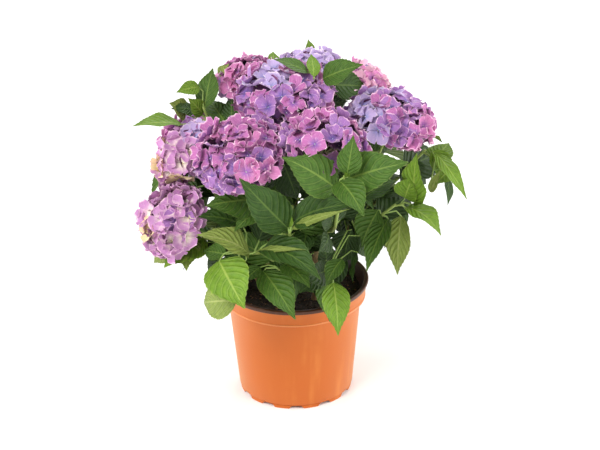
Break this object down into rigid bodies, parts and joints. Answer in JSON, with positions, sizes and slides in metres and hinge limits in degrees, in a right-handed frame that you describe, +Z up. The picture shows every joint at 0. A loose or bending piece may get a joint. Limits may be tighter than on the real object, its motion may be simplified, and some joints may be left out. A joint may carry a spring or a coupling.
{
  "type": "potted hydrangea shrub",
  "caption": "Mophead garden shrub in a round plastic pot: canes rise from the soil to domed flower heads and broad pointed leaves in pairs.",
  "frame": {"origin": "middle of the pot's underside, on the ground that its feet stand on", "axes": "+Z up the pot's axis, -Y towards the side that the picture shows, +X to the right as seen from there"},
  "size_m": [0.4676, 0.5528, 0.5262],
  "materials": {
    "pot": "satin",
    "soil": "matte",
    "stem": "matte",
    "bloom": "matte",
    "leaf": "satin"
  },
  "bodies": {
    "root": {"pot": "pot", "soil": "soil", "bough_back": "stem", "bough_back_low_left": "stem", "bough_back_low_right": "stem", "bough_crown": "stem", "bough_far_right": "stem", "bough_front": "stem", "bough_front_middle": "stem", "bough_high_left": "stem", "bough_left_lower": "stem", "bough_low_front": "stem", "bough_low_left": "stem", "bough_low_right": "stem", "bough_side_left": "stem", "bough_side_right": "stem", "bough_top_back": "stem", "bough_top_left": "stem", "bough_top_right": "stem", "cane_back_left": "stem", "cane_back_right": "stem", "cane_front_left": "stem", "cane_front_right": "stem", "cane_left": "stem", "cane_middle": "stem", "cane_right": "stem", "head_back": "bloom", "head_back_left": "bloom", "head_back_right": "bloom", "head_front_left": "bloom", "head_front_right": "bloom", "head_left_lower": "bloom", "head_left_upper": "bloom", "head_right": "bloom", "head_top_back": "bloom", "head_top_front": "bloom", "head_top_left": "bloom", "head_top_right": "bloom", "leaves_back": "leaf", "leaves_back_left": "leaf", "leaves_back_low_left": "leaf", "leaves_back_low_right": "leaf", "leaves_back_right": "leaf", "leaves_crown": "leaf", "leaves_far_right": "leaf", "leaves_front": "leaf", "leaves_front_left": "leaf", "leaves_front_middle": "leaf", "leaves_front_right": "leaf", "leaves_high_left": "leaf", "leaves_left_lower": "leaf", "leaves_left_upper": "leaf", "leaves_low_front": "leaf", "leaves_low_left": "leaf", "leaves_low_right": "leaf", "leaves_right": "leaf", "leaves_side_left": "leaf", "leaves_side_right": "leaf", "leaves_top_front": "leaf", "leaves_top_left": "leaf"}
  },
  "joints": []
}
